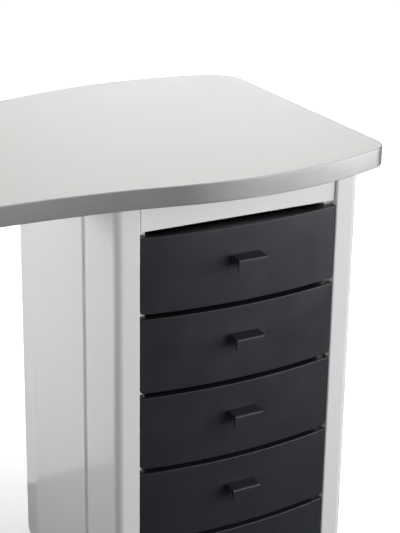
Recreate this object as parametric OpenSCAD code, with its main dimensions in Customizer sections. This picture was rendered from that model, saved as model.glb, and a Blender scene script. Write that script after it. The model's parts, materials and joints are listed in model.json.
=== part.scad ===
// Manicure table: a waisted worktop on a drawer pedestal and a slim end leg.
// Millimetres, floor at z = 0, technician's side towards -Y, drawers at +X.

/* [Worktop] */
// Length of the worktop
top_len = 1200; // [1150:10:1300]
// Depth of the worktop across its wide ends
top_depth = 540; // [530:5:560]
// Height of the worktop's upper face above the floor
top_z = 750; // [745:1:760]
// Thickness of the board with its laminate
top_t = 28; // [25:1:30]
// Thickness of the laminate sheet
laminate_t = 1.2; // [0.8:0.1:1.5]
// Thickness of the edge band
band_t = 2; // [1.5:0.5:3]
// How far the technician's edge is drawn in at the middle
front_waist = 36; // [30:1:45]
// How far the client's edge is drawn in at the middle
back_waist = 50; // [40:1:60]
// Radius of the two corners on the technician's side
front_corner_r = 40; // [30:1:50]
// Radius of the two corners on the client's side
back_corner_r = 60; // [50:1:70]

/* [Pedestal] */
// Middle of the pedestal, from the middle of the worktop
ped_x = 369; // [360:1:372]
// Width of the opening that the drawers fill
open_w = 308; // [300:1:312]
// Width of a front post
post_w = 36; // [34:1:38]
// Wall of the moulded shells
wall = 4; // [3:0.5:4.5]
// Height of the strip above the drawers
fascia_h = 47; // [44:1:50]
// Gap that shows the feet under the pedestal and the leg
floor_gap = 15; // [14:1:16]

/* [Drawers] */
// Number of drawers
drawer_count = 5; // [5]
// Distance from one drawer to the next
pitch = 118; // [117:1:119]
// Height of a drawer front
front_h = 111; // [108:1:112]
// How far the middle of a drawer front bows out past its ends
bow = 14; // [10:1:16]
// How far a drawer opens
travel = 300; // [250:10:300]
// Width of a handle
handle_w = 44; // [36:1:52]
// Reach of a handle in front of the drawer
handle_reach = 21; // [18:1:24]

/* [Leg] */
// Thickness of the end leg
leg_w = 60; // [56:1:70]
// Middle of the end leg, from the middle of the worktop
leg_x = -520; // [-530:1:-500]

/* [Hidden] */

$fn = 48;
fine_fn = 720;
eps = 0.01;
far = 400;

// Worktop
under_z = top_z - top_t;
half_len = top_len / 2;
half_depth = top_depth / 2;
front_lobe_x = 370;
front_lobe_r = 600;
back_lobe_x = 400;
back_lobe_r = 590;
waist_step = 1;
lobe_step = 1;
corner_step = 5;
pilot_depth = 20;

// Pedestal plan, measured from its own middle
side_x = open_w / 2 + post_w;
post_y = -216;
shell_y = -180;
seam_y = -108;
seam_gap = 0.15;
rear_y = 190;
rear_corner_r = 30;
rear_turn = 7;
crease_y = 101;
facet_len = (rear_y - rear_corner_r * (1 - sin(rear_turn)) - crease_y) / cos(rear_turn);
corner_c = [
    side_x - facet_len * sin(rear_turn) - rear_corner_r * cos(rear_turn),
    rear_y - rear_corner_r
];
nose_r = 12;
post_edge_r = 2;
groove_r = 6;
groove_depth = 5;
groove_band = 14;
groove_back = 9;
lip_w = 14;
board_t = 18;
side_board_t = 12;
board_half = side_x - 9.5;
base_z = floor_gap + wall;
cap_z = under_z - board_t;
cap_rear = 170;
base_rear = 128;
side_rear = 156;
tongue_y = -200;

// Rear face of the pedestal and leg, bowed from top to bottom
rear_bow_r = 9000;
rear_bow_z = 330;
rear_low_r = 28;
rear_bow_y = rear_y - rear_bow_r;
low_z = floor_gap + rear_low_r;
low_y = rear_bow_y + sqrt(pow(rear_bow_r - rear_low_r, 2) - pow(rear_bow_z - low_z, 2));
back_half = 129.7;
back_tongue = 118;
back_return = 130;

// Fasteners
screw_r = 1.9;
screw_hole_r = 1.95;
head_r = 3.5;
head_t = 2.4;
boss_r = 6;
boss_ys = [-140, -40, 90];
boss_zs = [188, 425, 661];
back_screw_x = 124;

// Drawers
front_gap = 1.5;
front_half = open_w / 2 - front_gap;
gap_h = pitch - front_h;
front_z1 = under_z - fascia_h - gap_h;
chord_y = -215;
apex_y = chord_y - bow;
bow_r = (front_half * front_half + bow * bow) / (2 * bow);
front_back_y = -203;
front_corner = 5;
front_wall = 4;
peg_x = 110;
peg_z = 30;
peg_r = 3;
peg_hole_r = 3.3;
stop_w = 13;
stop_t = 14;
stop_h = 12;
stop_gap = 0.4;
strip_y = -212;
strip_gap = 2;
tray_wall = 3;
tray_half = open_w / 2 - 13;
tray_y1 = 132;
tray_low = 8;
tray_h = 88;
tray_corner = 6;
runner_z = 45;
runner_y0 = -200;
runner_len = 335;

// Handle, measured from the bottom of its drawer front
handle_z0 = 53;
handle_z1 = 70.5;
handle_t = 3.5;
lip_tip_t = 2;
lip_root_t = 5;
handle_round = 3;
handle_foot_h = 12;
handle_foot_t = 4;
clip_x = 14;
clip_r = 2.5;
clip_hole_r = 2.7;

// Feet
stud_r = 4;
stud_hole_r = 4.05;
insert_r = 6;
insert_h = 14;
ped_foot_x = 140;
foot_y0 = -165;
foot_y1 = 105;

// Leg
leg_half = leg_w / 2;
leg_rear_r = leg_half;
leg_tube = 30;
tube_wall = 2;
plate_t = 6;
plate_w = 110;
leg_top = under_z - plate_t;

// Rails under the top
rail_h = 20;
rail_w = 40;
rail_x0 = leg_x + plate_w / 2 + 4;
rail_x1 = ped_x - side_x - 4;
rail_ys = [-60, 110];
saddle_t = 3;
saddle_w = 30;
saddle_ear = 24;
saddle_xs = [rail_x0 + 60, rail_x1 - 60];

function drawer_z(n) = front_z1 - front_h - pitch * (n - 1);
function rear_at(z) = rear_bow_y + sqrt(rear_bow_r * rear_bow_r - pow(z - rear_bow_z, 2));

shell_white = [0.93, 0.93, 0.93];
board_white = [0.88, 0.88, 0.87];
laminate_grey = [0.86, 0.86, 0.85];
band_grey = [0.62, 0.62, 0.63];
slate = [0.17, 0.18, 0.20];
tray_grey = [0.30, 0.31, 0.33];
steel = [0.70, 0.71, 0.72];
nylon = [0.12, 0.12, 0.13];
chipboard = [0.70, 0.58, 0.43];

// ---------- worktop ----------

// Points of an arc round c, from angle a0 to a1, one point for each step of about so many degrees
function arc(c, r, a0, a1, step) = let (n = ceil(abs(a1 - a0) / step))
    [for (i = [0:n]) c + r * [cos(a0 + (a1 - a0) * i / n), sin(a0 + (a1 - a0) * i / n)]];

// A list without its first point
function tail(pts) = [for (i = [1:len(pts) - 1]) pts[i]];

// A quarter of the worktop's edge: hollow waist at the middle, full lobe, rounded corner
function top_quarter(lobe_x, lobe_r, waist, corner_r, inset) =
    let (
        waist_r = (lobe_x * lobe_x + waist * waist) / (2 * waist) - lobe_r,
        waist_c = [0, half_depth - waist + waist_r],
        lobe_c = [lobe_x, half_depth - lobe_r],
        corner_x = half_len - corner_r,
        corner_y = lobe_c.y + sqrt(pow(lobe_r - corner_r, 2) - pow(corner_x - lobe_x, 2)),
        join_a = atan2(waist_c.y - lobe_c.y, -lobe_x),
        turn_a = atan2(corner_y - lobe_c.y, corner_x - lobe_x)
    )
    concat(
        arc(waist_c, waist_r + inset, -90, join_a - 180, waist_step),
        tail(arc(lobe_c, lobe_r - inset, join_a, turn_a, lobe_step)),
        tail(arc([corner_x, corner_y], corner_r - inset, turn_a, 0, corner_step))
    );

// The same quarter on the other three sides, each running on from the one before
function flip_x(pts) = [for (p = pts) [-p.x, p.y]];
function flip_y(pts) = [for (p = pts) [p.x, -p.y]];
function back_to_front(pts) = [for (i = [len(pts) - 1:-1:0]) pts[i]];

module top_plan(inset) {
    back = top_quarter(back_lobe_x, back_lobe_r, back_waist, back_corner_r, inset);
    front = flip_y(top_quarter(front_lobe_x, front_lobe_r, front_waist, front_corner_r, inset));
    polygon(concat(
        back,
        back_to_front(front),
        flip_x(tail(front)),
        back_to_front(flip_x(tail(back)))
    ));
}

// Places of the screws that go up into the board: [x, y, z under the head, length]
function top_screws() = concat(
    [for (x = [-120, 120], y = [-120, 90]) [ped_x + x, y, cap_z, board_t + pilot_depth]],
    [for (x = [-42, 42], y = [-110, 70]) [leg_x + x, y, leg_top, plate_t + pilot_depth]],
    [for (x = saddle_xs, y = rail_ys, s = [-1, 1])
        [x, y + s * (rail_w / 2 + saddle_t + saddle_ear / 2), under_z - saddle_t, saddle_t + pilot_depth]]
);

module worktop_board() {
    color(chipboard) difference() {
        translate([0, 0, under_z]) linear_extrude(top_t - laminate_t) top_plan(band_t);
        for (s = top_screws())
            translate([s[0], s[1], under_z - 1]) cylinder(r = screw_hole_r, h = pilot_depth + 2);
    }
}

module worktop_laminate() {
    color(laminate_grey) translate([0, 0, top_z - laminate_t])
        linear_extrude(laminate_t) top_plan(band_t);
}

module edge_band() {
    color(band_grey) translate([0, 0, under_z]) linear_extrude(top_t) difference() {
        top_plan(0);
        top_plan(band_t);
    }
}

module screw(length) {
    cylinder(r = screw_r, h = length);
    translate([0, 0, -head_t]) cylinder(r = head_r, h = head_t);
}

module worktop_screws() {
    color(steel) for (s = top_screws()) translate([s[0], s[1], s[2]]) screw(s[3]);
}

// ---------- rails under the top ----------

module tube_x(length, width, height) {
    difference() {
        cube([length, width, height]);
        translate([-1, tube_wall, tube_wall])
            cube([length + 2, width - 2 * tube_wall, height - 2 * tube_wall]);
    }
}

module stiffener_rail(y) {
    color(nylon) translate([rail_x0, y - rail_w / 2, under_z - rail_h])
        tube_x(rail_x1 - rail_x0, rail_w, rail_h);
}

module rail_saddles() {
    inner = rail_w / 2;
    outer = inner + saddle_t;
    color(steel) for (x = saddle_xs, y = rail_ys) translate([x, y, 0]) difference() {
        union() {
            translate([-saddle_w / 2, -outer, under_z - rail_h - saddle_t])
                cube([saddle_w, 2 * outer, rail_h + saddle_t]);
            translate([-saddle_w / 2, -outer - saddle_ear, under_z - saddle_t])
                cube([saddle_w, 2 * (outer + saddle_ear), saddle_t]);
        }
        translate([-saddle_w, -inner, under_z - rail_h])
            cube([2 * saddle_w, 2 * inner, rail_h + 1]);
        for (s = [-1, 1]) translate([0, s * (outer + saddle_ear / 2), under_z - saddle_t - 1])
            cylinder(r = screw_hole_r, h = saddle_t + 2);
    }
}

// ---------- profiles shared by the pedestal and the leg ----------

// Side view in Y and Z: bowed rear face, rounded lower rear corner
module side_profile(inset) {
    out = [low_y - rear_bow_y, low_z - rear_bow_z] / (rear_bow_r - rear_low_r);
    difference() {
        intersection() {
            translate([post_y - 10, floor_gap + inset])
                square([far + far, under_z - floor_gap - inset]);
            translate([rear_bow_y, rear_bow_z]) circle(r = rear_bow_r - inset, $fn = 4 * fine_fn);
        }
        translate([low_y, low_z]) polygon([[0, 0], [0, -far], [far, -far], out * far]);
    }
    translate([low_y, low_z]) circle(r = rear_low_r - inset);
}

module side_solid(inset) {
    rotate([90, 0, 90]) linear_extrude(2 * side_x + 20, center = true) side_profile(inset);
}

// Front corner in plan for x > 0: rounded outer edge, small inner edge and start of the side
module nose_plan(half, inner) {
    depth = shell_y - post_y;
    flat = half - nose_r - inner;
    translate([half - nose_r, post_y + nose_r]) circle(r = nose_r);
    translate([inner + post_edge_r, post_y + post_edge_r]) circle(r = post_edge_r);
    translate([inner + post_edge_r, post_y]) square([flat - post_edge_r, nose_r]);
    translate([inner, post_y + post_edge_r]) square([flat, depth - post_edge_r]);
    translate([inner, post_y + nose_r]) square([half - inner, depth - nose_r]);
}

// Hollow inside that corner, one wall behind its faces, open or closed at the rear
module nose_hollow(half, inner, rear) {
    depth = rear - post_y;
    translate([half - nose_r, post_y + nose_r]) circle(r = nose_r - wall);
    translate([inner, post_y + wall]) square([half - nose_r - inner, depth - wall]);
    translate([inner, post_y + nose_r]) square([half - wall - inner, depth - nose_r]);
}

// ---------- pedestal ----------

// Plan of the pedestal behind its posts: flat sides that turn in a little before the rear corners
module ped_plan(inset) {
    r = rear_corner_r - inset;
    right = [
        [side_x - inset, shell_y],
        [side_x - inset, crease_y - inset * tan(rear_turn / 2)],
        corner_c + r * [cos(rear_turn), sin(rear_turn)],
        corner_c,
        [corner_c.x, rear_y - inset]
    ];
    polygon(concat(right, back_to_front(flip_x(right))));
    for (c = [corner_c, [-corner_c.x, corner_c.y]]) translate(c) circle(r = r);
}

module groove() {
    translate([side_x + groove_r - groove_depth, seam_y]) circle(r = groove_r);
}

// Standoffs of a shell that reach the carcass side, with their screw holes
module bosses(ys) {
    length = side_x - wall - open_w / 2 - side_board_t;
    for (y = ys, z = boss_zs) translate([side_x - wall - length, y, z]) rotate([0, 90, 0])
        difference() {
            cylinder(r = boss_r, h = length + 1);
            translate([0, 0, -1]) cylinder(r = screw_hole_r, h = length);
        }
}

module front_shell() {
    translate([0, 0, floor_gap]) linear_extrude(under_z - floor_gap) difference() {
        union() {
            nose_plan(side_x, open_w / 2);
            translate([side_x - wall, shell_y - 1])
                square([wall, seam_y - seam_gap - shell_y + 1]);
            translate([side_x - groove_back, seam_y - groove_band])
                square([groove_back, groove_band - seam_gap]);
        }
        groove();
        nose_hollow(side_x, open_w / 2 + wall, shell_y - wall);
    }
    translate([side_x - wall - lip_w, shell_y - 1, floor_gap])
        cube([lip_w + 1, seam_y - seam_gap - shell_y + 1, wall]);
    bosses([boss_ys[0]]);
}

module rear_shell() {
    difference() {
        intersection() {
            side_solid(0);
            translate([0, 0, floor_gap]) linear_extrude(under_z - floor_gap) difference() {
                intersection() {
                    ped_plan(0);
                    translate([back_return, seam_y + seam_gap]) square([far, far]);
                }
                groove();
            }
        }
        intersection() {
            side_solid(wall);
            linear_extrude(top_z) difference() {
                ped_plan(wall);
                translate([side_x - groove_back, seam_y]) square([groove_back, groove_band]);
            }
        }
        translate([0, shell_y, 0])
            cube([side_x - wall - lip_w, low_y - shell_y, floor_gap + wall + 1]);
    }
    difference() {
        intersection() {
            difference() {
                side_solid(wall);
                side_solid(2 * wall);
            }
            translate([back_tongue, low_y - 10, low_z])
                cube([back_return + 13 - back_tongue, far, cap_z - low_z]);
        }
        back_screw_holes();
    }
    bosses([boss_ys[1], boss_ys[2]]);
}

module pedestal_shell(side, front) {
    color(shell_white) translate([ped_x, 0, 0]) mirror([side < 0 ? 1 : 0, 0, 0]) {
        if (front) front_shell();
        else rear_shell();
    }
}

module back_screw_places() {
    for (s = [-1, 1], z = boss_zs) translate([s * back_screw_x, rear_at(z), z])
        rotate([90, 0, 0]) children();
}

module back_screw_holes() {
    back_screw_places() translate([0, 0, -5]) cylinder(r = screw_hole_r, h = wall + 10);
}

module pedestal_back_panel() {
    color(shell_white) translate([ped_x, 0, 0]) difference() {
        intersection() {
            difference() {
                side_solid(0);
                side_solid(wall);
            }
            translate([-back_half, low_y, 0]) cube([2 * back_half, far, top_z]);
        }
        back_screw_holes();
    }
}

module ped_board(rear, front_half_w, z) {
    translate([ped_x, 0, z]) linear_extrude(board_t) {
        intersection() {
            ped_plan(side_x - board_half);
            translate([-far, shell_y + 0.5]) square([2 * far, rear - shell_y - 0.5]);
        }
        translate([-front_half_w, tongue_y]) square([2 * front_half_w, shell_y + 1 - tongue_y]);
    }
}

module pedestal_cap() {
    color(board_white) difference() {
        ped_board(cap_rear, open_w / 2 - 0.5, cap_z);
        for (s = top_screws()) translate([s[0], s[1], cap_z - 1])
            cylinder(r = screw_hole_r, h = board_t + 2);
    }
}

module foot_places(which) {
    for (p = which) translate([p[0], p[1], 0]) children();
}

ped_feet = [for (x = [-1, 1], y = [foot_y0, foot_y1]) [ped_x + x * ped_foot_x, y]];
leg_feet = [[leg_x, foot_y0], [leg_x, foot_y1]];

module pedestal_base() {
    color(board_white) difference() {
        ped_board(base_rear, open_w / 2 - 0.5, base_z);
        foot_places(ped_feet) {
            translate([0, 0, base_z - 1]) cylinder(r = insert_r, h = insert_h + 1);
            cylinder(r = stud_r + 1, h = base_z + board_t + 1);
        }
    }
}

module carcass_side(side) {
    color(board_white) translate([ped_x, 0, 0]) mirror([side < 0 ? 1 : 0, 0, 0]) difference() {
        translate([open_w / 2, shell_y + 0.5, base_z + board_t])
            cube([side_board_t, side_rear - shell_y - 0.5, cap_z - base_z - board_t]);
        for (y = boss_ys, z = boss_zs) translate([open_w / 2, y, z]) rotate([0, 90, 0]) {
            translate([0, 0, -1]) cylinder(r = screw_hole_r, h = side_board_t + 2);
            translate([0, 0, -1]) cylinder(r = head_r + 0.3, h = head_t + 1.2);
        }
    }
}

module shell_screws() {
    color(steel) translate([ped_x, 0, 0]) for (m = [0, 1]) mirror([m, 0, 0])
        for (y = boss_ys, z = boss_zs)
            translate([open_w / 2 + head_t + 0.2, y, z]) rotate([0, 90, 0]) screw(side_board_t + 4);
}

module back_screws() {
    color(steel) translate([ped_x, 0, 0]) back_screw_places()
        translate([0, 0, -0.5]) screw(2 * wall - 1);
}

// Blocks at both ends of each gap between the fronts, which the drawers close against
module drawer_stops() {
    color(shell_white) translate([ped_x, 0, 0]) for (m = [0, 1], n = [1:drawer_count + 1]) {
        top = drawer_z(n) + front_h;
        z0 = n > drawer_count ? top : top - stop_h;
        z1 = n == 1 ? front_z1 + gap_h : top + stop_h;
        mirror([m, 0, 0]) translate([open_w / 2 - stop_w, front_back_y + stop_gap, z0])
            cube([stop_w, stop_t, z1 - z0]);
    }
}

// Strips above and below the drawers
module front_strip(z0, z1) {
    color(shell_white) translate([ped_x - open_w / 2 + strip_gap, strip_y, z0])
        cube([open_w - 2 * strip_gap, side_board_t, z1 - z0]);
}

// ---------- runners ----------

// Channel in the XZ plane for the right-hand side: web at depth a0, flanges towards depth a1
module channel(a0, a1, half_h, t) {
    face = open_w / 2;
    web = min(a0, a1 - t);
    translate([face - max(a0, a1), 0]) {
        translate([0, half_h - t]) square([abs(a1 - a0), t]);
        translate([0, -half_h]) square([abs(a1 - a0), t]);
        translate([a1 > a0 ? a1 - a0 - t : 0, -half_h]) square([t, 2 * half_h]);
    }
}

module runner_pair(a0, a1, half_h, n) {
    translate([ped_x, runner_y0 + runner_len, drawer_z(n) + runner_z]) for (m = [0, 1])
        mirror([m, 0, 0]) rotate([90, 0, 0]) linear_extrude(runner_len)
            channel(a0, a1, half_h, 1.2);
}

module cabinet_runners() {
    color(steel) for (n = [1:drawer_count]) runner_pair(0, 5, 17.5, n);
}

module middle_runners(n) {
    color(steel) runner_pair(2.6, 9.6, 15, n);
}

module drawer_runners(n) {
    color(steel) runner_pair(13, 5.6, 12.5, n);
}

// ---------- drawers ----------

// Plan of a drawer front: bowed outside, flat back, rounded ends
module front_plan(inset) {
    centre_y = apex_y + bow_r;
    end_r = 4;
    end_x = front_half - end_r;
    end_y = centre_y - sqrt(pow(bow_r - end_r, 2) - end_x * end_x);
    out = [end_x, end_y - centre_y] / (bow_r - end_r);
    difference() {
        intersection() {
            translate([-front_half + inset, apex_y - 1])
                square([2 * (front_half - inset), front_back_y - apex_y + 1]);
            translate([0, centre_y]) circle(r = bow_r - inset, $fn = fine_fn);
        }
        if (inset < end_r) for (m = [0, 1]) mirror([m, 0]) translate([end_x, end_y])
            polygon([[0, 0], [far, 0], [far, -far], out * far]);
    }
    if (inset < end_r) for (m = [0, 1]) mirror([m, 0])
        translate([end_x, end_y]) circle(r = end_r - inset);
}

// Rounded rectangle in X and Z, as thick as asked along Y from y0
module rounded_plate(half_w, h, r, y0, y1) {
    translate([0, y1, 0]) rotate([90, 0, 0]) linear_extrude(y1 - y0) {
        translate([-half_w + r, 0]) square([2 * (half_w - r), h]);
        translate([-half_w, r]) square([2 * half_w, h - 2 * r]);
        for (x = [-1, 1], z = [r, h - r]) translate([x * (half_w - r), z]) circle(r = r);
    }
}

module at_drawer(n) {
    translate([ped_x, 0, drawer_z(n)]) children();
}

module pegs() {
    for (x = [-peg_x, peg_x], z = [-peg_z, peg_z])
        translate([x, 0, front_h / 2 + z]) rotate([90, 0, 0]) children();
}

module drawer_front(n) {
    color(slate) at_drawer(n) {
        difference() {
            intersection() {
                linear_extrude(front_h) front_plan(0);
                rounded_plate(front_half, front_h, front_corner, apex_y - 5, front_back_y + 5);
            }
            translate([0, 0, front_wall]) linear_extrude(front_h - 2 * front_wall) union() {
                front_plan(front_wall);
                translate([-front_half + front_wall, front_back_y - 1])
                    square([2 * (front_half - front_wall), 2]);
            }
            for (x = [-clip_x, clip_x])
                translate([x, 0, (handle_z1 + handle_z1 - handle_foot_h) / 2]) rotate([90, 0, 0])
                    cylinder(r = clip_hole_r, h = far);
        }
        pegs() {
            translate([0, 0, -front_back_y]) cylinder(r = peg_r + 2, h = 15);
            translate([0, 0, -front_back_y - 4.5]) cylinder(r = peg_r, h = 5);
            translate([0, 0, -front_back_y - tray_wall - 2.6]) cylinder(r = peg_r + 0.9, h = 2.5);
        }
    }
}

module tray_plan(inset) {
    r = tray_corner - inset;
    y0 = front_back_y + inset;
    y1 = tray_y1 - inset;
    half = tray_half - inset;
    translate([-half, y0 + r]) square([2 * half, y1 - y0 - 2 * r]);
    translate([-half + r, y0]) square([2 * (half - r), y1 - y0]);
    for (s = [-1, 1], y = [y0 + r, y1 - r]) translate([s * (half - r), y]) circle(r = r);
}

module drawer_tray(n) {
    color(tray_grey) at_drawer(n) difference() {
        translate([0, 0, tray_low]) linear_extrude(tray_h) tray_plan(0);
        translate([0, 0, tray_low + tray_wall]) linear_extrude(tray_h) tray_plan(tray_wall);
        pegs() translate([0, 0, -front_back_y - tray_wall - 1])
            cylinder(r = peg_hole_r, h = tray_wall + 2);
    }
}

// Hooked grip: flat top, lip that turns down, and a foot with two clips
module drawer_handle(n) {
    y0 = apex_y - handle_reach;
    clip_z = handle_z1 - handle_foot_h / 2;
    color(slate) at_drawer(n) {
        difference() {
            translate([-handle_w / 2, 0, 0]) rotate([90, 0, 90]) linear_extrude(handle_w) {
                translate([y0 + handle_round, handle_z1 - handle_t])
                    square([handle_reach - handle_round + 1, handle_t]);
                polygon([
                    [y0, handle_z0], [y0 + lip_tip_t, handle_z0],
                    [y0 + lip_root_t, handle_z1 - handle_t + 0.5],
                    [y0 + handle_round, handle_z1 - handle_t + 0.5],
                    [y0 + handle_round, handle_z1 - handle_round], [y0, handle_z1 - handle_round]
                ]);
                translate([y0 + handle_round, handle_z1 - handle_round]) circle(r = handle_round);
                translate([y0 + handle_round, handle_z1 - handle_t - 1]) square([2, 2]);
                translate([apex_y - handle_foot_t, handle_z1 - handle_foot_h])
                    square([handle_foot_t + 1, handle_foot_h - 1]);
            }
            translate([0, apex_y + bow_r, 0]) cylinder(r = bow_r + 0.05, h = front_h, $fn = fine_fn);
        }
        for (x = [-clip_x, clip_x]) translate([x, 0, clip_z]) rotate([90, 0, 0]) {
            translate([0, 0, -apex_y - front_wall - 2.5]) cylinder(r = clip_r, h = front_wall + 4);
            translate([0, 0, -apex_y - front_wall - 2.5]) cylinder(r = clip_r + 1, h = 2);
        }
    }
}

// ---------- feet ----------

module foot_inserts() {
    color(steel) foot_places(concat(ped_feet, leg_feet)) difference() {
        union() {
            translate([0, 0, base_z]) cylinder(r = insert_r, h = insert_h);
            translate([0, 0, base_z - 1.5]) cylinder(r = insert_r + 3, h = 1.5);
        }
        translate([0, 0, base_z - 2]) cylinder(r = stud_hole_r, h = insert_h + 4);
    }
}

module foot(place) {
    pad_r = 19;
    color(nylon) translate([place[0], place[1], 0]) {
        cylinder(r = pad_r, h = 6);
        translate([0, 0, 6]) cylinder(r1 = pad_r, r2 = pad_r / 2, h = 3);
        translate([0, 0, 9 - eps]) cylinder(r = 9.5, h = 6, $fn = 6);
        translate([0, 0, 14]) cylinder(r = stud_r, h = 30);
    }
}

// ---------- leg ----------

module leg_plan(inset) {
    r = leg_half - inset;
    y = rear_y - leg_half;
    translate([-r, shell_y - 1]) square([2 * r, y - shell_y + 1]);
    translate([0, y]) circle(r = r);
}

module leg_shell(side) {
    color(shell_white) translate([leg_x, 0, 0]) mirror([side < 0 ? 1 : 0, 0, 0]) difference() {
        intersection() {
            side_solid(0);
            translate([0, 0, floor_gap]) linear_extrude(leg_top - floor_gap) intersection() {
                union() {
                    nose_plan(leg_half, 0);
                    translate([0, post_y]) square([nose_r, nose_r]);
                    leg_plan(0);
                }
                translate([seam_gap, -far]) square([far, 2 * far]);
            }
        }
        intersection() {
            side_solid(wall);
            linear_extrude(top_z) {
                leg_plan(wall);
                nose_hollow(leg_half, -1, shell_y + 1);
            }
        }
        translate([-1, shell_y, 0]) cube([leg_half - wall + 1, low_y - shell_y, low_z]);
    }
}

module leg_post(y) {
    color(nylon) translate([leg_x - leg_tube / 2, y - leg_tube / 2, base_z + leg_tube])
        difference() {
            cube([leg_tube, leg_tube, leg_top - base_z - leg_tube]);
            translate([tube_wall, tube_wall, -1])
                cube([leg_tube - 2 * tube_wall, leg_tube - 2 * tube_wall, leg_top]);
        }
}

module leg_foot_bar() {
    y0 = foot_y0 - leg_tube / 2 + 3;
    y1 = foot_y1 + leg_tube / 2;
    color(nylon) difference() {
        translate([leg_x + leg_tube / 2, y0, base_z]) rotate([0, 0, 90])
            tube_x(y1 - y0, leg_tube, leg_tube);
        foot_places(leg_feet) translate([0, 0, base_z - 1]) cylinder(r = insert_r, h = tube_wall + 2);
    }
}

module leg_head_plate() {
    color(nylon) translate([leg_x, 0, leg_top]) difference() {
        translate([-plate_w / 2, foot_y0 - 20, 0])
            cube([plate_w, foot_y1 - foot_y0 + 40, plate_t]);
        for (s = top_screws()) translate([s[0] - leg_x, s[1], -1])
            cylinder(r = screw_hole_r, h = plate_t + 2);
    }
}

// ---------- assembly ----------

worktop_board();
worktop_laminate();
edge_band();
stiffener_rail(rail_ys[0]);  // stiffener_rail_front
stiffener_rail(rail_ys[1]);  // stiffener_rail_rear
rail_saddles();
worktop_screws();
pedestal_shell(-1, true);  // pedestal_front_shell_left
pedestal_shell(1, true);  // pedestal_front_shell_right
pedestal_shell(-1, false);  // pedestal_rear_shell_left
pedestal_shell(1, false);  // pedestal_rear_shell_right
pedestal_back_panel();
pedestal_cap();
pedestal_base();
carcass_side(-1);  // carcass_side_left
carcass_side(1);  // carcass_side_right
front_strip(under_z - fascia_h, under_z);  // fascia
front_strip(floor_gap, drawer_z(drawer_count) - gap_h);  // plinth
shell_screws();
back_screws();
drawer_stops();
leg_shell(-1);  // leg_outer_shell
leg_shell(1);  // leg_inner_shell
leg_post(foot_y0 + 3);  // leg_post_front
leg_post(foot_y1);  // leg_post_rear
leg_foot_bar();
leg_head_plate();
foot_inserts();
cabinet_runners();
for (n = [1:drawer_count]) {
    drawer_front(n);
    drawer_tray(n);
    drawer_handle(n);
    drawer_runners(n);
    middle_runners(n);
}
foot(ped_feet[0]);  // foot_pedestal_front_left
foot(ped_feet[1]);  // foot_pedestal_rear_left
foot(ped_feet[2]);  // foot_pedestal_front_right
foot(ped_feet[3]);  // foot_pedestal_rear_right
foot(leg_feet[0]);  // foot_leg_front
foot(leg_feet[1]);  // foot_leg_rear
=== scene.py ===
import json
import math

import bmesh
import bpy
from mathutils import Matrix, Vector


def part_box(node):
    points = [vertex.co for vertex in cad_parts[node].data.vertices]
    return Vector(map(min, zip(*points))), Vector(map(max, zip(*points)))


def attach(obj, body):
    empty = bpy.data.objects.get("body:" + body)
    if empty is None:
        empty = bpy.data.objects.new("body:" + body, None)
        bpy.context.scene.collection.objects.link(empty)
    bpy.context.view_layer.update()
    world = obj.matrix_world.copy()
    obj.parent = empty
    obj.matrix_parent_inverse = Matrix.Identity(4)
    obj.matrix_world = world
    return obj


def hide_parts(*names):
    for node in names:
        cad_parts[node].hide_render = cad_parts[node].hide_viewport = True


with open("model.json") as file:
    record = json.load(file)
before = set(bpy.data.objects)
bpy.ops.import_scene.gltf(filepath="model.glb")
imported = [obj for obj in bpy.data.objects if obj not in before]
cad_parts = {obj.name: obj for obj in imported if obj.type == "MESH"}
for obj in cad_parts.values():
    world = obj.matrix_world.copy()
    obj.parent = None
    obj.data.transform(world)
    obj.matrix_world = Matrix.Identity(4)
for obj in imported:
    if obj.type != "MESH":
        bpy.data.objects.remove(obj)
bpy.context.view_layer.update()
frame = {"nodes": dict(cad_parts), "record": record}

# The looks of the manicure table: materials, detailed pieces, floor, world, lights and camera.

NODES = frame["nodes"]
MM = 0.001

# ---------------------------------------------------------------- materials

NOISE_SPAN = (0.3, 0.7)  # nearly all of a noise texture's values lie in here
SPECK_SPAN = (0.55, 0.75)  # the part of the noise that shows as specks in the laminate
SHEET_TOP = (0.2 * MM, 0.4 * MM)  # heights above the board's underside where its pale sheet ends


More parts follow.
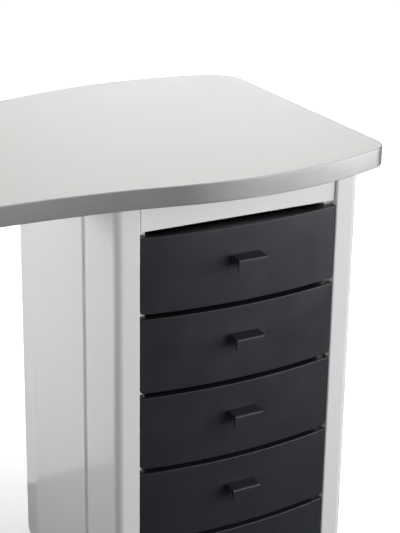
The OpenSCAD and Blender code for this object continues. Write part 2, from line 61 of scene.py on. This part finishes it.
class Nodes:
    """A material's node tree, with short calls for the nodes used here."""

    def __init__(self, name):
        self.mat = bpy.data.materials.new(name)
        self.mat.use_nodes = True
        self.tree = self.mat.node_tree
        self.tree.nodes.clear()
        self.out = self.add("ShaderNodeOutputMaterial")
        self.shader = self.add("ShaderNodeBsdfPrincipled")
        self.link(self.shader.outputs[0], self.out.inputs["Surface"])
        self.coord = self.add("ShaderNodeTexCoord").outputs["Object"]

    def add(self, kind, **values):
        node = self.tree.nodes.new(kind)
        for key, value in values.items():
            setattr(node, key, value)
        return node

    def link(self, a, b):
        self.tree.links.new(a, b)

    def scaled(self, scale):
        """Object coordinates, stretched by a different factor along each axis."""
        node = self.add("ShaderNodeMapping")
        node.inputs["Scale"].default_value = scale
        self.link(self.coord, node.inputs["Vector"])
        return node.outputs[0]

    def noise(self, scale, detail, rough=0.55, coord=None):
        node = self.add("ShaderNodeTexNoise")
        node.inputs["Scale"].default_value = scale
        node.inputs["Detail"].default_value = detail
        node.inputs["Roughness"].default_value = rough
        self.link(coord or self.coord, node.inputs["Vector"])
        return node.outputs["Fac"]

    def cells(self, scale, coord=None):
        """A random number from 0 to 1 for each cell of a Voronoi pattern."""
        node = self.add("ShaderNodeTexVoronoi", feature="F1")
        node.inputs["Scale"].default_value = scale
        self.link(coord or self.coord, node.inputs["Vector"])
        split = self.add("ShaderNodeSeparateColor")
        self.link(node.outputs["Color"], split.inputs[0])
        return split.outputs[0]

    def ramp(self, value, low, high, a, b):
        """Maps value from low..high to a..b: numbers or colours."""
        if isinstance(a, (int, float)):
            node = self.add("ShaderNodeMapRange")
            for socket, number in zip((1, 2, 3, 4), (low, high, a, b)):
                node.inputs[socket].default_value = number
        else:
            node = self.add("ShaderNodeValToRGB")
            for stop, place, colour in zip(node.color_ramp.elements, (low, high), (a, b)):
                stop.position = place
                stop.color = (*colour, 1)
        self.link(value, node.inputs[0])
        return node.outputs[0]

    def vary(self, noise, a, b):
        """Spreads a noise texture over a..b: numbers or colours."""
        return self.ramp(noise, *NOISE_SPAN, a, b)

    def mix(self, factor, a, b):
        """From a to b by factor, which is a socket. Each colour is a socket or three numbers."""
        node = self.add("ShaderNodeMix", data_type="RGBA")
        self.link(factor, node.inputs[0])
        for socket, colour in ((6, a), (7, b)):
            if isinstance(colour, tuple):
                node.inputs[socket].default_value = (*colour, 1)
            else:
                self.link(colour, node.inputs[socket])
        return node.outputs[2]

    def bump(self, height, strength, distance, under=None):
        node = self.add("ShaderNodeBump")
        node.inputs["Strength"].default_value = strength
        node.inputs["Distance"].default_value = distance
        self.link(height, node.inputs["Height"])
        if under:
            self.link(under, node.inputs["Normal"])
        return node.outputs[0]

    def finish(self, colour, rough, normal=None, **fixed):
        """Links the shader's inputs and sets the fixed ones, which are named with _ for a space."""
        self.link(colour, self.shader.inputs["Base Color"])
        self.link(rough, self.shader.inputs["Roughness"])
        if normal:
            self.link(normal, self.shader.inputs["Normal"])
        for key, value in fixed.items():
            self.shader.inputs[key.replace("_", " ")].default_value = value
        return self.mat


def tinted(colour, by):
    """The colour made lighter or darker by a fraction of itself."""
    return tuple(c * (1 + by) for c in colour)


def moulded(name, base, rough, grain_scale, grain_depth, spread):
    """Moulded plastic: soft cloudy tint, fine grain in the mould, roughness that wanders a little."""
    n = Nodes(name)
    colour = n.vary(n.noise(6, 2), tinted(base, -spread), tinted(base, spread))
    wander = n.vary(n.noise(22, 4), rough * 0.85, rough * 1.15)
    return n.finish(colour, wander, n.bump(n.noise(grain_scale, 2, 0.6), grain_depth, 0.3 * MM))


def laminate():
    """Matt laminate: nearly even, with fine darker specks that can just be felt."""
    n = Nodes("laminate_matt")
    base = (0.745, 0.738, 0.723)
    speck = n.noise(700, 2, 0.7)
    colour = n.vary(n.noise(5, 3), tinted(base, -0.012), tinted(base, 0.012))
    colour = n.mix(n.ramp(speck, *SPECK_SPAN, 0.0, 0.25), colour, tinted(base, -0.10))
    rough = n.vary(n.noise(40, 3), 0.42, 0.52)
    return n.finish(colour, rough, n.bump(speck, 0.12, 0.2 * MM), Specular_IOR_Level=0.2)


def edging():
    """Silver edging with a fine brushed grain that runs along the band."""
    n = Nodes("edging_silver")
    base = (0.42, 0.42, 0.425)
    grain = n.noise(60, 4, 0.65, n.scaled((0.35, 0.35, 32)))
    colour = n.vary(grain, tinted(base, -0.10), tinted(base, 0.10))
    colour = n.mix(n.vary(n.noise(9, 2), 0.0, 0.3), colour, tinted(base, 0.06))
    rough = n.vary(grain, 0.30, 0.42)
    return n.finish(colour, rough, n.bump(grain, 0.25, 0.1 * MM), Metallic=0.75)


def gloss_shell():
    """Glossy white moulding: a faint long wave in the surface, with orange peel on it."""
    n = Nodes("shell_gloss_white")
    base = (0.80, 0.80, 0.805)
    colour = n.vary(n.noise(3, 2), tinted(base, -0.01), tinted(base, 0.01))
    rough = n.vary(n.noise(60, 3), 0.13, 0.19)
    wave = n.bump(n.noise(12, 1, 0.4), 0.10, 2 * MM)
    return n.finish(colour, rough, n.bump(n.noise(160, 2, 0.4), 0.05, 0.2 * MM, wave))


def zinc():
    """Zinc plate on steel, with its small crystals in slightly different greys."""
    n = Nodes("steel_zinc")
    base = (0.56, 0.57, 0.585)
    colour = n.ramp(n.cells(130), 0.0, 1.0, tinted(base, -0.12), tinted(base, 0.10))
    rough = n.vary(n.noise(90, 4), 0.26, 0.42)
    return n.finish(colour, rough, n.bump(n.noise(300, 3), 0.1, 0.2 * MM), Metallic=1.0)


def powder_coat():
    """Black powder coat with its fine pebbled texture."""
    n = Nodes("rail_powder_black")
    base = (0.018, 0.018, 0.020)
    colour = n.vary(n.noise(15, 3), tinted(base, -0.1), tinted(base, 0.3))
    rough = n.vary(n.noise(70, 3), 0.42, 0.55)
    return n.finish(colour, rough, n.bump(n.noise(420, 2, 0.5), 0.35, 0.3 * MM))


def board_underside():
    """Particle board whose lower face carries a thin pale balancing sheet."""
    n = Nodes("board_chips")
    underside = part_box("worktop_board")[0].z
    chips = n.cells(420, n.scaled((1, 1, 2.2)))
    wood = n.ramp(chips, 0.0, 1.0, (0.30, 0.20, 0.11), (0.62, 0.48, 0.31))
    place = n.add("ShaderNodeSeparateXYZ")
    n.link(n.coord, place.inputs[0])
    core = n.ramp(place.outputs["Z"], *(underside + height for height in SHEET_TOP), 0.0, 1.0)
    sheet = n.vary(n.noise(30, 4), (0.70, 0.69, 0.67), (0.74, 0.73, 0.71))
    rough = n.vary(n.noise(60, 3), 0.40, 0.52)
    return n.finish(n.mix(core, sheet, wood), rough, n.bump(n.noise(500, 2), 0.15, 0.2 * MM))


def melamine():
    """White melamine facing with a faint pressed texture."""
    n = Nodes("melamine_white")
    base = (0.70, 0.70, 0.69)
    colour = n.vary(n.noise(25, 4), tinted(base, -0.02), tinted(base, 0.02))
    rough = n.vary(n.noise(80, 3), 0.34, 0.44)
    return n.finish(colour, rough, n.bump(n.noise(350, 2), 0.2, 0.2 * MM))


FINISH = {
    "laminate": laminate(),
    "edge": edging(),
    "shell": gloss_shell(),
    "steel": zinc(),
    "rail": powder_coat(),
    "chipboard": board_underside(),
    "white_board": melamine(),
    "front": moulded("front_anthracite", (0.022, 0.024, 0.029), rough=0.38,
                     grain_scale=900, grain_depth=0.22, spread=0.05),
    "tray": moulded("tray_grey", (0.075, 0.079, 0.086), rough=0.48,
                    grain_scale=700, grain_depth=0.30, spread=0.05),
    "foot": moulded("foot_nylon", (0.020, 0.020, 0.022), rough=0.50,
                    grain_scale=500, grain_depth=0.35, spread=0.10),
}

slot_of = {part["node"]: part["material_slot"] for part in frame["record"]["subparts"]}
body_of = {}
for body, members in frame["record"]["behaviour"]["bodies"].items():
    for member in members:
        body_of[member] = body

for name, node in NODES.items():
    node.data.materials.clear()
    node.data.materials.append(FINISH[slot_of[name]])

# ---------------------------------------------------------------- pieces

WELD = 1e-6  # points nearer than this are one point (m)
FLAT = 0.0005  # faces within this angle are one face (radians)
FACE_WEIGHT = 60  # how far a broad face's normal outweighs a narrow one's

# the angles below are in degrees
EASED_ANGLE = 40  # the least sharp edge that eased() rounds
BAND_ANGLE = 60  # the same on the edge band
CREASE_ANGLE = (5, 9)  # the fold down each rear shell lies between these
CREASE_FACE = 0.02  # and between faces larger than this (m2)

# how far the edges of each kind of part are rounded (mm), and in how many steps
LAMINATE_EASE = (0.25, 1)
HANDLE_EASE = (0.35, 2)
TRAY_EASE = (0.8, 2)
SHELL_EASE = (0.7, 2)
PANEL_EASE = (0.8, 2)
BOARD_EASE = (0.4, 1)
METAL_EASE = (0.9, 2)
FOOT_EASE = (0.6, 2)
BAND_OUTER = (1.1, 4)
BAND_INNER = (0.25, 1)

PANELS = ("leg_outer_shell", "leg_inner_shell", "fascia", "plinth", "pedestal_back_panel")
BOARDS = ("pedestal_cap", "pedestal_base", "carcass_side_left", "carcass_side_right", "drawer_stops")
METAL = ("stiffener_rail_front", "stiffener_rail_rear", "leg_post_front", "leg_post_rear",
         "leg_foot_bar", "leg_head_plate", "rail_saddles")

DRAWERS = range(1, 6)
FRONT_BOW = 14 * MM  # how far a front stands out at its middle
FRONT_CORNER = 5 * MM
FRONT_ROUND = 1.3 * MM
FRONT_WALL = 4 * MM
FRONT_COLUMNS = 40
CORNER_STEPS = 6
ROUND_STEPS = 5

PEG_X = 110 * MM
PEG_Z = 30 * MM
PEG_EASE = 0.4 * MM
PEG_SIDES = 20
# boss, pin and snap head: radius, then start and end behind the tray's front (mm)
PEG_PARTS = ((5, -14.5, 0.2), (3, -0.5, 4.8), (3.9, 3.1, 5.6))


def add_piece(name, bm, node, replace=True):
    """A new mesh that rides on the body of a CAD node and takes its finish."""
    mesh = bpy.data.meshes.new(name)
    bm.normal_update()
    bm.to_mesh(mesh)
    bm.free()
    mesh.materials.append(FINISH[slot_of[node]])
    piece = bpy.data.objects.new(name, mesh)
    bpy.context.scene.collection.objects.link(piece)
    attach(piece, body_of[node])
    if replace:
        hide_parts(node)
    return piece


def smooth(piece, sharp=35):
    """Smooth shading, apart from edges sharper than the angle in degrees."""
    piece.data.shade_smooth()
    piece.data.set_sharp_from_angle(angle=math.radians(sharp))
    weigh = piece.modifiers.new("even_shading", "WEIGHTED_NORMAL")
    weigh.keep_sharp = True
    weigh.weight = FACE_WEIGHT


def clean_copy(node):
    """The CAD node's mesh with its points welded and its flat faces whole."""
    bm = bmesh.new()
    bm.from_mesh(NODES[node].data)
    bmesh.ops.remove_doubles(bm, verts=bm.verts, dist=WELD)
    bmesh.ops.dissolve_limit(bm, angle_limit=FLAT, verts=bm.verts, edges=bm.edges)
    return bm


def eased(node, width, steps):
    """The CAD node with its sharp edges eased, as a mould or a router leaves them."""
    piece = add_piece(node + "_eased", clean_copy(node), node)
    ease = piece.modifiers.new("eased_edges", "BEVEL")
    ease.width = width * MM
    ease.segments = steps
    ease.limit_method = "ANGLE"
    ease.angle_limit = math.radians(EASED_ANGLE)
    ease.miter_outer = "MITER_ARC"
    ease.use_clamp_overlap = True
    smooth(piece)
    return piece


def crisp_crease(piece):
    """Keeps the shading apart where two broad faces of a shell meet at a shallow angle."""
    least, most = (math.radians(angle) for angle in CREASE_ANGLE)
    bm = bmesh.new()
    bm.from_mesh(piece.data)
    for edge in bm.edges:
        faces = edge.link_faces
        if len(faces) == 2 and least < edge.calc_face_angle() < most:
            if min(face.calc_area() for face in faces) > CREASE_FACE:
                piece.data.edges[edge.index].use_edge_sharp = True
    bm.free()


def edge_band():
    """Edging with rounded outer edges and only a scraped joint on the inside."""
    bm = clean_copy("edge_band")
    outer, inner = [], []
    for edge in bm.edges:
        if len(edge.link_faces) == 2 and edge.calc_face_angle() >= math.radians(BAND_ANGLE):
            wall = min(edge.link_faces, key=lambda face: abs(face.normal.z))
            middle = (edge.verts[0].co + edge.verts[1].co) / 2
            faces_out = wall.normal.xy.dot(middle.xy) > 0
            (outer if faces_out else inner).append(edge)
    for edges, (width, steps) in ((outer, BAND_OUTER), (inner, BAND_INNER)):
        bmesh.ops.bevel(bm, geom=[edge for edge in edges if edge.is_valid], offset=width * MM,
                        segments=steps, profile=0.5, affect="EDGES", clamp_overlap=True)
    smooth(add_piece("edge_band_rounded", bm, "edge_band"), sharp=40)


def bridge(bm, rings):
    """Faces between each closed ring of points and the next."""
    for near, far in zip(rings, rings[1:]):
        for i in range(len(near)):
            j = (i + 1) % len(near)
            bm.faces.new((near[i], near[j], far[j], far[i]))


def rounded_rect(half, height, radius):
    """Points round a rectangle with rounded corners: the upper half ring, then the lower one."""
    flat = half - radius
    run = [flat - 2 * flat * i / FRONT_COLUMNS for i in range(FRONT_COLUMNS + 1)]
    before = range(CORNER_STEPS)  # a corner that ends where a run starts
    after = range(1, CORNER_STEPS + 1)  # a corner that starts where a run ends

    def corner(x, z, quarter, steps):
        turns = [math.pi / 2 * (quarter + i / CORNER_STEPS) for i in steps]
        return [(x + radius * math.cos(a), z + radius * math.sin(a)) for a in turns]

    upper = corner(flat, height - radius, 0, before) + [(x, height) for x in run]
    upper += corner(-flat, height - radius, 1, after)
    lower = corner(-flat, radius, 2, before) + [(-x, 0.0) for x in run]
    lower += corner(flat, radius, 3, after)
    return upper + lower


def drawer_front(n):
    """Bowed front, hollow behind, with rounded edges all the way round."""
    node = f"drawer_front_{n}"
    low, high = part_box(node)
    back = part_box(f"drawer_tray_{n}")[0].y
    middle = (low.x + high.x) / 2
    half = (high.x - low.x) / 2
    height = high.z - low.z
    bow_radius = (half ** 2 + FRONT_BOW ** 2) / (2 * FRONT_BOW)

    # each ring's inset from the outline and its depth behind the bowed face: the first is on the tray
    turns = [math.pi / 2 * i / ROUND_STEPS for i in range(ROUND_STEPS + 1)]
    profile = [(0.0, None)]
    profile += [(FRONT_ROUND * (1 - math.cos(a)), FRONT_ROUND * (1 - math.sin(a))) for a in turns]
    bm = bmesh.new()
    rings = []
    for inset, depth in profile:
        ring = []
        for x, z in rounded_rect(half - inset, height - 2 * inset, FRONT_CORNER - inset):
            face_y = low.y + bow_radius - math.sqrt(bow_radius ** 2 - x ** 2)
            y = back if depth is None else face_y + depth
            ring.append(bm.verts.new((middle + x, y, low.z + inset + z)))
        rings.append(ring)
    bridge(bm, rings)

    # the face itself is columns between the two halves of the last ring
    half_ring = len(rings[-1]) // 2
    upper = rings[-1][:half_ring]
    lower = rings[-1][half_ring:][::-1]
    for i in range(half_ring - 1):
        bm.faces.new((upper[i], upper[i + 1], lower[i + 1], lower[i]))
    bmesh.ops.recalc_face_normals(bm, faces=bm.faces)

    piece = add_piece(f"drawer_front_{n}_moulded", bm, node)
    wall = piece.modifiers.new("wall", "SOLIDIFY")
    wall.thickness = FRONT_WALL
    wall.offset = -1
    wall.use_even_offset = True
    smooth(piece, sharp=50)


def round_bar(bm, x, y, z, radius, length):
    """A round bar from a point along +Y, with eased ends."""
    turns = [math.tau * i / PEG_SIDES for i in range(PEG_SIDES)]
    narrow = radius - PEG_EASE
    rings = []
    for r, along in ((narrow, 0), (radius, PEG_EASE), (radius, length - PEG_EASE), (narrow, length)):
        rings.append([bm.verts.new((x + r * math.cos(a), y + along, z - r * math.sin(a))) for a in turns])
    bridge(bm, rings)
    bm.faces.new(rings[0][::-1])
    bm.faces.new(rings[-1])


def front_pegs(n):
    """Moulded pegs behind a front: boss, pin and snap head, one after another along +Y."""
    node = f"drawer_front_{n}"
    low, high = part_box(node)
    middle = (low + high) / 2
    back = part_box(f"drawer_tray_{n}")[0].y
    bm = bmesh.new()
    for x in (middle.x - PEG_X, middle.x + PEG_X):
        for z in (middle.z - PEG_Z, middle.z + PEG_Z):
            for radius, start, end in PEG_PARTS:
                round_bar(bm, x, back + start * MM, z, radius * MM, (end - start) * MM)
    smooth(add_piece(f"drawer_front_{n}_pegs", bm, node, replace=False), sharp=40)


edge_band()
eased("worktop_laminate", *LAMINATE_EASE)
for n in DRAWERS:
    drawer_front(n)
    front_pegs(n)
    eased(f"drawer_handle_{n}", *HANDLE_EASE)
    eased(f"drawer_tray_{n}", *TRAY_EASE)
for side in ("left", "right"):
    eased(f"pedestal_front_shell_{side}", *SHELL_EASE)
    crisp_crease(eased(f"pedestal_rear_shell_{side}", *SHELL_EASE))
for parts, ease in ((PANELS, PANEL_EASE), (BOARDS, BOARD_EASE), (METAL, METAL_EASE)):
    for part in parts:
        eased(part, *ease)
for part in NODES:
    if part.startswith("foot_") and part != "foot_inserts":
        eased(part, *FOOT_EASE)

# ---------------------------------------------------------------- floor and world

FLOOR_REACH = 40.0
FLOOR_GLOW_FROM = (0.6, 1.6)  # distances from the object's middle (m)
FLOOR_GLOW = (0.35, 1.0)  # the floor's own light at those distances, which the camera sees
FLOOR_DIM = 0.08  # the floor as everything but the camera sees it
WORLD_GLOW = 0.02  # the light that the world gives
WORLD_SEEN = 1.0  # the world as the camera sees it


def studio_floor():
    """A pale floor that fades to white, with little light of its own for the object to pick up."""
    bm = bmesh.new()
    corners = ((-1, -1), (1, -1), (1, 1), (-1, 1))
    bm.faces.new([bm.verts.new((x * FLOOR_REACH, y * FLOOR_REACH, 0)) for x, y in corners])
    mesh = bpy.data.meshes.new("studio_floor")
    bm.to_mesh(mesh)
    bm.free()
    floor = bpy.data.objects.new("studio_floor", mesh)
    bpy.context.scene.collection.objects.link(floor)

    n = Nodes("floor_pale")
    colour = n.vary(n.noise(0.6, 2), (0.84, 0.84, 0.84), (0.86, 0.86, 0.86))
    rough = n.vary(n.noise(2, 2), 0.65, 0.75)
    mesh.materials.append(n.finish(colour, rough, Specular_IOR_Level=0.1, Emission_Color=(1, 1, 1, 1)))
    distance = n.add("ShaderNodeVectorMath", operation="LENGTH")
    n.link(n.coord, distance.inputs[0])
    n.link(n.ramp(distance.outputs["Value"], *FLOOR_GLOW_FROM, *FLOOR_GLOW),
           n.shader.inputs["Emission Strength"])
    dim = n.add("ShaderNodeBsdfDiffuse")
    dim.inputs["Color"].default_value = (FLOOR_DIM, FLOOR_DIM, FLOOR_DIM, 1)
    seen = n.add("ShaderNodeLightPath").outputs["Is Camera Ray"]
    either = n.add("ShaderNodeMixShader")
    for socket, source in enumerate((seen, dim.outputs[0], n.shader.outputs[0])):
        n.link(source, either.inputs[socket])
    n.link(either.outputs[0], n.out.inputs["Surface"])


def studio_world():
    """White to the camera, and a faint even glow to everything else."""
    world = bpy.data.worlds.new("studio")
    world.use_nodes = True
    bpy.context.scene.world = world
    tree = world.node_tree
    tree.nodes.clear()
    out = tree.nodes.new("ShaderNodeOutputWorld")
    pick = tree.nodes.new("ShaderNodeMixShader")
    path = tree.nodes.new("ShaderNodeLightPath")
    tree.links.new(path.outputs["Is Camera Ray"], pick.inputs[0])
    for socket, strength in ((1, WORLD_GLOW), (2, WORLD_SEEN)):
        shade = tree.nodes.new("ShaderNodeBackground")
        shade.inputs["Color"].default_value = (1, 1, 1, 1)
        shade.inputs["Strength"].default_value = strength
        tree.links.new(shade.outputs[0], pick.inputs[socket])
    tree.links.new(pick.outputs[0], out.inputs[0])


studio_floor()
studio_world()

# ---------------------------------------------------------------- lights and camera

# Name, place, the point it faces, width and height (m), power (W), spread (degrees).
# Those with a spread of 36 are level with the top, so what they light fades towards the floor.
SOFTBOXES = (
    ("key_right", (2.3, -1.7, 0.95), (0.4, -0.1, 0.7), (1.9, 1.6), 16, 120),
    ("key_side", (2.6, -1.0, 0.85), (0.4, -0.1, 0.6), (1.2, 1.4), 10, 120),
    ("key_front", (1.3, -2.6, 0.9), (0.4, -0.1, 0.6), (1.2, 1.4), 8, 120),
    ("fill_left", (-3.0, -2.4, 0.95), (0.2, 0, 0.8), (1.6, 0.6), 2.0, 36),
    ("back_left", (-2.9, 3.0, 0.82), (0.2, 0, 0.8), (1.4, 0.6), 5.8, 36),
    ("side_left", (-3.6, 1.4, 0.82), (0.2, 0, 0.8), (1.4, 0.6), 1.0, 36),
    ("back_right", (1.6, 2.4, 1.1), (0.2, 0, 0.5), (1.6, 1.4), 12, 120),
    ("top_fill", (0.3, 0.4, 3.2), (0.2, 0, 0.7), (3.0, 2.0), 50, 180),
)
# This one lies on the floor behind the table, as the bright area that the glossy shells reflect.
FLOOR_SHEEN = ("floor_sheen", (-0.2, 2.15, 0.02), (-0.2, 2.15, 1), (3.6, 3.7), 22, 180)

CAMERA_PLACE = (-0.4992, -1.7188, 1.3072)
CAMERA_TURN = (72.1354, -0.3861, -26.3897)  # about x, y and z (degrees)
CAMERA_LENS = 91.103  # mm, on the sensor's width
CAMERA_SENSOR = 36.0  # mm
CAMERA_SHIFT = (0.06567, -0.19043)  # the view's offset from the lens axis, in sensor widths
CAMERA_CLIP = (0.05, 200)  # m


def softbox(name, place, aim, size, power, spread):
    """A rectangular area light that the camera doesn't see."""
    data = bpy.data.lights.new(name, "AREA")
    data.shape = "RECTANGLE"
    data.size, data.size_y = size
    data.energy = power
    data.spread = math.radians(spread)
    lamp = bpy.data.objects.new(name, data)
    lamp.location = place
    lamp.rotation_euler = (Vector(aim) - Vector(place)).to_track_quat("-Z", "Y").to_euler()
    lamp.visible_camera = False
    bpy.context.scene.collection.objects.link(lamp)
    return lamp


def photo_camera():
    """The camera, where the photograph was taken from."""
    data = bpy.data.cameras.new("camera")
    data.sensor_width = CAMERA_SENSOR
    data.lens = CAMERA_LENS
    data.shift_x, data.shift_y = CAMERA_SHIFT
    data.clip_start, data.clip_end = CAMERA_CLIP
    camera = bpy.data.objects.new("camera", data)
    camera.location = CAMERA_PLACE
    camera.rotation_euler = [math.radians(angle) for angle in CAMERA_TURN]
    bpy.context.scene.collection.objects.link(camera)
    bpy.context.scene.camera = camera


for row in SOFTBOXES:
    softbox(*row)
softbox(*FLOOR_SHEEN).visible_diffuse = False  # it shows in reflections only
photo_camera()
bpy.context.scene.view_settings.view_transform = "Standard"
